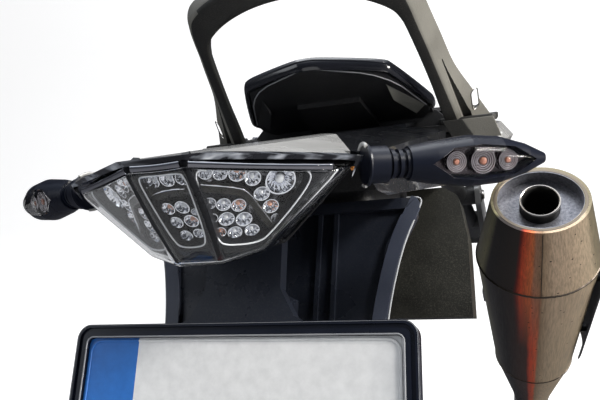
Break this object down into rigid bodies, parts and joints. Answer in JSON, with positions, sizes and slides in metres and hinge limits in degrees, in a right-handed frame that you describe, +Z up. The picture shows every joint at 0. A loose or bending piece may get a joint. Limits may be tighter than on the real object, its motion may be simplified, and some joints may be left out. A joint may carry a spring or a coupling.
{
  "type": "motorcycle tail section",
  "caption": "Motorcycle tail section on its rear subframe: faceted tail lamp, indicators, plate holder, grab hoop, pillion seat, silencer and folding footrests.",
  "frame": {"origin": "middle of the upper lug axis of the rear subframe", "axes": "+X to the rider's right, +Y forward, +Z up, as on the upright machine"},
  "size_m": [0.4969, 0.8919, 0.6721],
  "materials": {
    "subframe_paint": "satin black powder coat",
    "black_plastic": "fine-grained moulded plastic",
    "gloss_body": "glossy dark paint",
    "ring_grey": "light grey paint",
    "hoop_metal": "cast metal with grained dark paint",
    "seat_vinyl": "embossed vinyl",
    "clear_smoke": "clear smoked plastic",
    "chrome_cells": "metallised plastic",
    "amber": "translucent amber plastic",
    "red_reflex": "ribbed translucent plastic",
    "stem_rubber": "ribbed rubber",
    "plate_white": "white sheet with a blue band",
    "titanium": "brushed, warm from heat",
    "steel": "plain",
    "shield_black": "matte heat-proof paint",
    "cast_alloy": "fine cast",
    "rest_rubber": "ribbed rubber"
  },
  "bodies": {
    "tail": {"subframe": "subframe_paint", "undertray": "black_plastic", "tail_cowl": "gloss_body", "seat_back_panel": "black_plastic", "lamp_lens": "clear_smoke", "lamp_housing": "black_plastic", "lamp_reflector": "chrome_cells", "seat_pan": "black_plastic", "seat_cushion": "seat_vinyl", "grab_hoop": "hoop_metal", "side_cover_left": "gloss_body", "side_cover_right": "gloss_body", "indicator_stem_left": "stem_rubber", "indicator_stem_right": "stem_rubber", "indicator_body_left": "black_plastic", "indicator_body_right": "black_plastic", "indicator_lens_left": "clear_smoke", "indicator_lens_right": "clear_smoke", "indicator_optics_left": "amber", "indicator_optics_right": "amber", "rear_reflector": "red_reflex", "plate_frame": "black_plastic", "number_plate": "plate_white", "plate_hanger": "black_plastic", "rear_mudguard": "black_plastic", "inner_mudguard": "black_plastic", "silencer_body": "titanium", "silencer_end_cap": "titanium", "silencer_outlet": "steel", "silencer_inlet": "steel", "silencer_clamp": "steel", "heat_shield": "shield_black", "footrest_bracket_left": "cast_alloy", "footrest_bracket_right": "cast_alloy", "footrest_pin_left": "steel", "footrest_pin_right": "steel"},
    "footrest_left_body": {"footrest_left": "cast_alloy", "footrest_rubber_left": "rest_rubber"},
    "footrest_right_body": {"footrest_right": "cast_alloy", "footrest_rubber_right": "rest_rubber"}
  },
  "joints": [
    {"name": "footrest_left_fold", "type": "hinge", "parent": "tail", "child": "footrest_left_body", "pos_m": [-0.15, 0.04, -0.21], "axis": [0, 1, 0], "range_deg": [0, 85]},
    {"name": "footrest_right_fold", "type": "hinge", "parent": "tail", "child": "footrest_right_body", "pos_m": [0.15, 0.04, -0.21], "axis": [0, -1, 0], "range_deg": [0, 85]}
  ]
}
